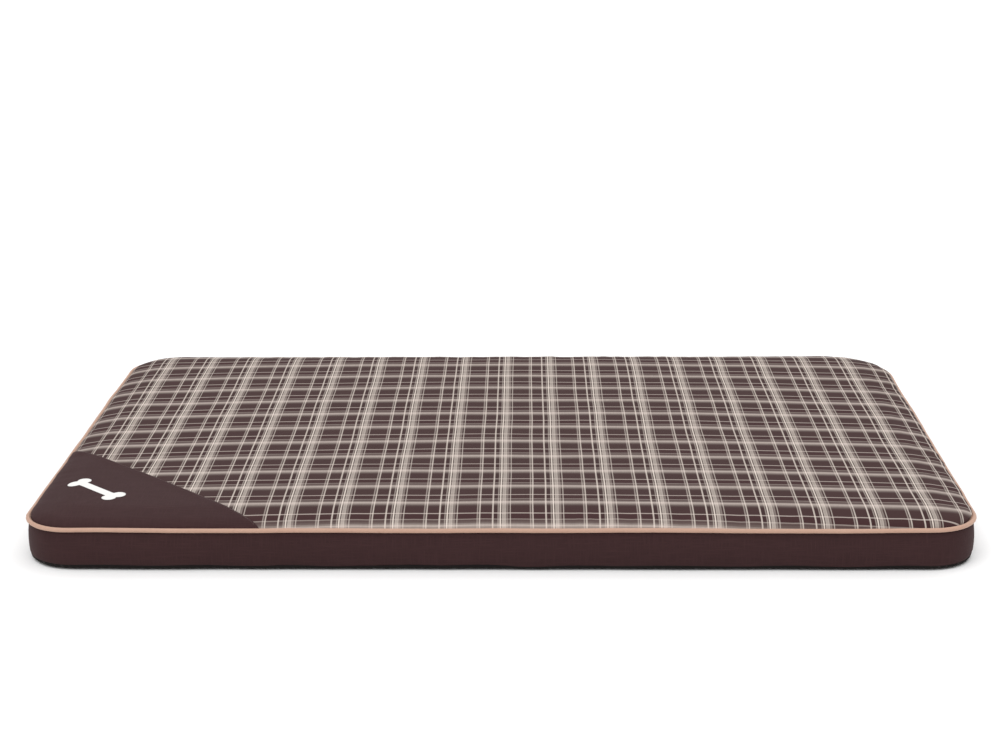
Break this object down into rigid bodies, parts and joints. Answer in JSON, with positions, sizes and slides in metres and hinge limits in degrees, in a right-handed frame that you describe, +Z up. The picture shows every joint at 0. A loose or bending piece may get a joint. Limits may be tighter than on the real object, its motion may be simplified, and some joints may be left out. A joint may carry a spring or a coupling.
{
  "type": "pet cushion bed",
  "caption": "Flat rectangular pet bed: a foam mattress in a box-edged, piped cloth cover with a zipped back and a plain corner patch.",
  "frame": {"origin": "on the floor under the middle of the bed, centre of the bounding box's base", "axes": "+X along the bed's length, +Y towards the back where the zip is, +Z up"},
  "size_m": [1.2, 0.8, 0.065],
  "materials": {
    "plaid_cloth": "matte woven cloth, dark brown with cream and grey plaid lines",
    "brown_cloth": "matte plain-weave polyester, dark brown",
    "piping_cloth": "smooth tan cloth over a cord",
    "base_cloth": "coarse matte non-slip cloth, near black",
    "emblem_print": "white transfer print",
    "cord_cotton": "twisted cotton cord",
    "zip_tape": "woven polyester tape, dark brown",
    "zip_coil": "dark brown nylon coil",
    "zip_metal": "dark enamelled zinc",
    "label_satin": "blank white satin ribbon",
    "liner_cloth": "white non-woven cloth",
    "firm_foam": "open-cell foam, firm",
    "soft_foam": "open-cell foam, soft",
    "wadding": "white polyester wadding"
  },
  "bodies": {
    "mattress": {"top_panel": "plaid_cloth", "corner_patch": "brown_cloth", "corner_emblem": "emblem_print", "piping_wrap": "piping_cloth", "piping_cord": "cord_cotton", "boxing_band": "brown_cloth", "rear_strip_upper": "brown_cloth", "rear_strip_lower": "brown_cloth", "base_panel": "base_cloth", "care_label": "label_satin", "zip_tape_upper": "zip_tape", "zip_tape_lower": "zip_tape", "zip_coil_upper": "zip_coil", "zip_coil_lower": "zip_coil", "zip_bottom_stop": "zip_metal", "zip_top_stop_upper": "zip_metal", "zip_top_stop_lower": "zip_metal", "liner_lower": "liner_cloth", "liner_upper": "liner_cloth", "base_foam": "firm_foam", "comfort_foam": "soft_foam", "wadding_layer": "wadding"},
    "zip_slider": {"zip_slider": "zip_metal"},
    "zip_pull_tab": {"zip_pull_tab": "zip_metal"}
  },
  "joints": [
    {"name": "slider_travel", "type": "slide", "parent": "mattress", "child": "zip_slider", "axis": [-1, 0, 0], "range_m": [0, 0.866]},
    {"name": "pull_tab_swing", "type": "hinge", "parent": "zip_slider", "child": "zip_pull_tab", "pos_m": [0.433, 0.3982, 0.02923], "axis": [0, 0, -1], "range_deg": [0, 180]}
  ]
}
